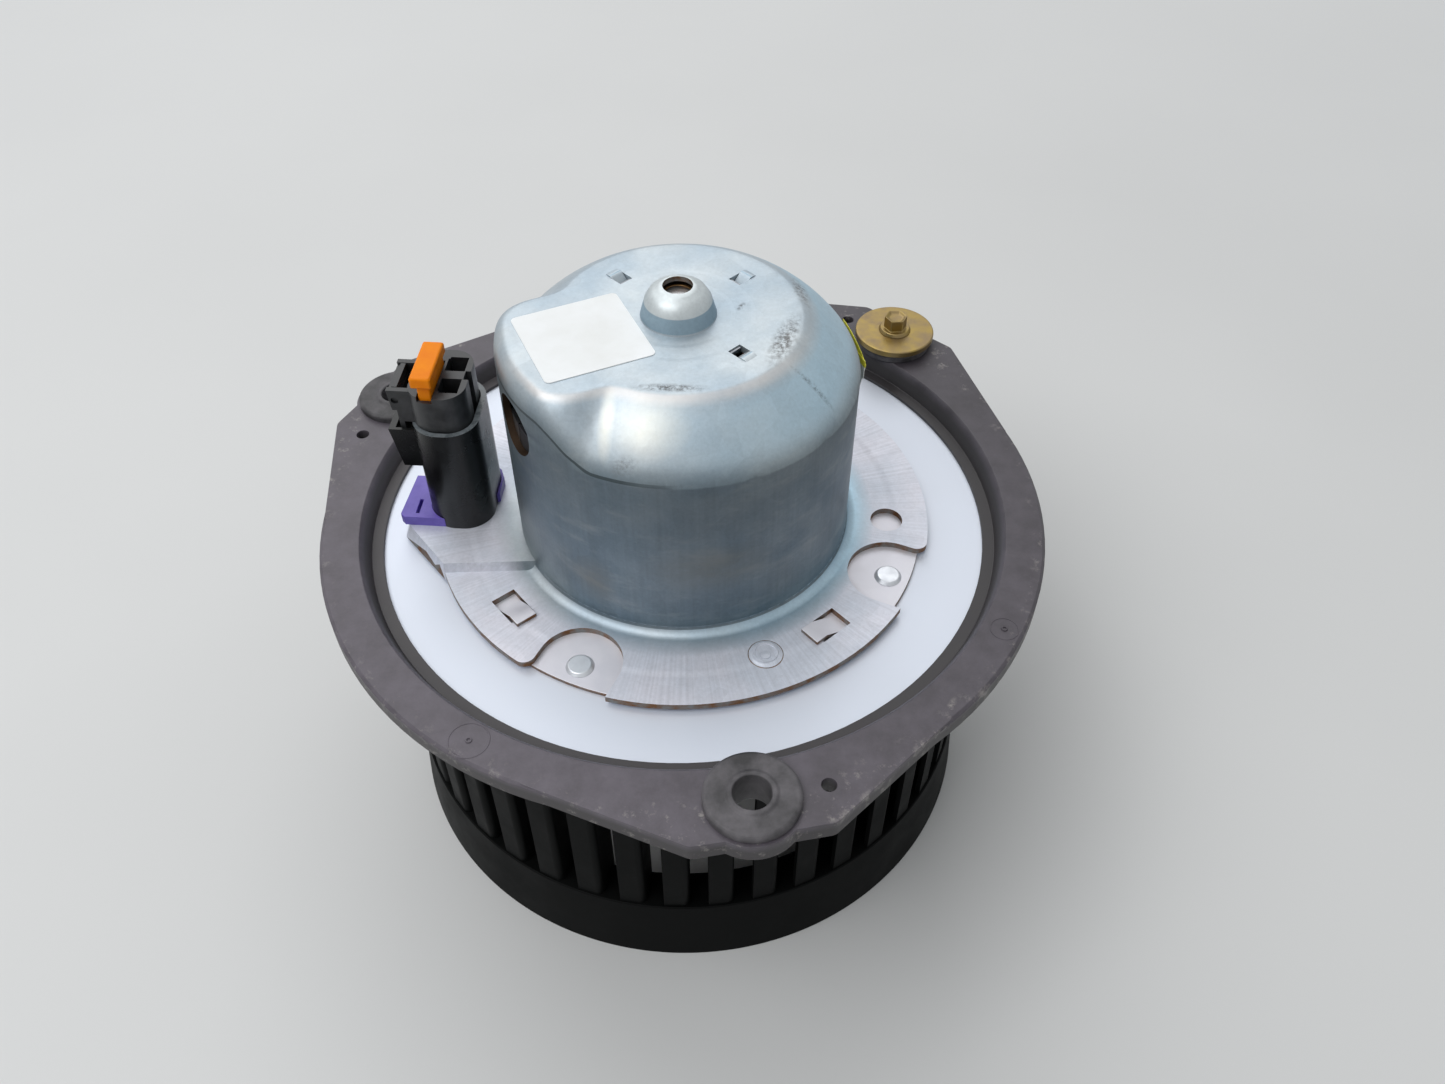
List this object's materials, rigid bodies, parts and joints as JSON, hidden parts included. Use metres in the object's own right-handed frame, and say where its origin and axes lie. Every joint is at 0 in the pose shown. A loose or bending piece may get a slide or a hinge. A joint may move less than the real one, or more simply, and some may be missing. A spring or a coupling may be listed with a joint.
{
  "type": "centrifugal blower motor",
  "caption": "Squirrel-cage blower: brushed motor in a drawn steel can on a plastic flange with rubber-bushed ears, plug in its socket, forward-curved wheel below.",
  "frame": {"origin": "centre of the wheel's open rim, on the shaft's axis, in the plane that the rim stands on", "axes": "+Z along the shaft from the wheel's open rim up to the motor can's crown, -X towards the electrical connector, -Y towards the front ear"},
  "size_m": [0.1782, 0.1844, 0.1492],
  "materials": {
    "wheel_plastic": "fine moulded black",
    "brass": "satin",
    "bright_zinc_steel": "bright zinc plate",
    "spring_steel": "satin",
    "ground_steel": "ground",
    "nylon": "natural nylon",
    "phenolic": "brown phenolic",
    "copper": "turned, burnished",
    "lamination_steel": "stacked sheets, lacquered",
    "enamelled_copper": "enamelled wire",
    "galvanised_can_steel": "drawn galvanised sheet with drawing streaks",
    "galvanised_plate_steel": "galvanised sheet, rusty cut edges",
    "sintered_bronze": "oil-filled sintered bronze",
    "ferrite": "sintered ferrite",
    "carbon": "pressed carbon",
    "tinned_brass": "tinned",
    "shroud_plastic": "smooth black",
    "violet_plastic": "smooth violet",
    "plug_plastic": "satin black",
    "orange_plastic": "smooth orange",
    "white_zinc_steel": "white zinc plate",
    "flange_plastic": "worn dark grey, scuffed edge",
    "grommet_rubber": "soft dark grey rubber",
    "yellow_zinc_steel": "yellow zinc chromate",
    "label_film": "white film, bare",
    "yellow_film": "yellow film with a white end"
  },
  "bodies": {
    "motor": {"mounting_plate": "white_zinc_steel", "mounting_flange": "flange_plastic", "grommet_front": "grommet_rubber", "grommet_rear": "grommet_rubber", "grommet_left": "grommet_rubber", "motor_can": "galvanised_can_steel", "motor_end_plate": "galvanised_plate_steel", "flange_rivets": "bright_zinc_steel", "upper_bearing": "sintered_bronze", "lower_bearing": "sintered_bronze", "upper_bearing_retainer": "spring_steel", "lower_bearing_retainer": "spring_steel", "magnet_front": "ferrite", "magnet_rear": "ferrite", "magnet_clips": "spring_steel", "brush_card": "phenolic", "brush_holder_front": "brass", "brush_holder_rear": "brass", "brush_spring_front": "spring_steel", "brush_spring_rear": "spring_steel", "terminal_strip_front": "tinned_brass", "terminal_strip_rear": "tinned_brass", "connector_shroud": "shroud_plastic", "connector_retainer": "violet_plastic", "top_label": "label_film", "side_sticker": "yellow_film"},
    "rotor": {"shaft": "ground_steel", "thrust_washers": "nylon", "commutator_hub": "phenolic", "commutator_bars": "copper", "armature_core": "lamination_steel", "armature_windings": "enamelled_copper", "shaft_clip": "spring_steel", "wheel_skirt": "wheel_plastic", "wheel_end_ring": "wheel_plastic", "wheel_blades": "wheel_plastic", "wheel_back_plate": "wheel_plastic", "wheel_hub_insert": "brass", "wheel_nut": "bright_zinc_steel", "wheel_washer": "bright_zinc_steel"},
    "front_brush": {"brush_front": "carbon"},
    "rear_brush": {"brush_rear": "carbon"},
    "plug": {"plug_body": "plug_plastic", "plug_terminals": "tinned_brass"},
    "latch": {"plug_latch": "plug_plastic"},
    "lock_clip": {"plug_lock_clip": "orange_plastic"},
    "washer": {"rear_washer": "yellow_zinc_steel"},
    "screw": {"rear_screw": "yellow_zinc_steel"}
  },
  "joints": [
    {"name": "rotor_spin", "type": "hinge", "parent": "motor", "child": "rotor", "pos_m": [0, 0, 0.081], "axis": [0, 0, 1], "continuous": true},
    {"name": "front_brush_slide", "type": "slide", "parent": "motor", "child": "front_brush", "axis": [0, -1, 0], "range_m": [0, 0.004], "stiffness_N_per_m": 200, "springref_m": -0.005, "deforming": ["brush_spring_front"]},
    {"name": "rear_brush_slide", "type": "slide", "parent": "motor", "child": "rear_brush", "axis": [0, 1, 0], "range_m": [0, 0.004], "stiffness_N_per_m": 200, "springref_m": -0.005, "deforming": ["brush_spring_rear"]},
    {"name": "plug_pull", "type": "slide", "parent": "motor", "child": "plug", "axis": [0, 0, 1], "range_m": [0, 0.035]},
    {"name": "latch_press", "type": "hinge", "parent": "plug", "child": "latch", "pos_m": [-0.06343, 0.00465, 0.1212], "axis": [0.1132, 0.9936, 0], "range_deg": [0, 4], "stiffness_Nm_per_rad": 0.02, "springref_deg": -5.73},
    {"name": "lock_clip_slide", "type": "slide", "parent": "plug", "child": "lock_clip", "axis": [0, 0, 1], "range_m": [0, 0.003]},
    {"name": "washer_lift", "type": "slide", "parent": "motor", "child": "washer", "axis": [0, 0, 1], "range_m": [0, 0.035]},
    {"name": "screw_spin", "type": "hinge", "parent": "washer", "child": "screw", "pos_m": [0.06052, 0.0618, 0.09], "axis": [0, 0, 1], "continuous": true}
  ]
}
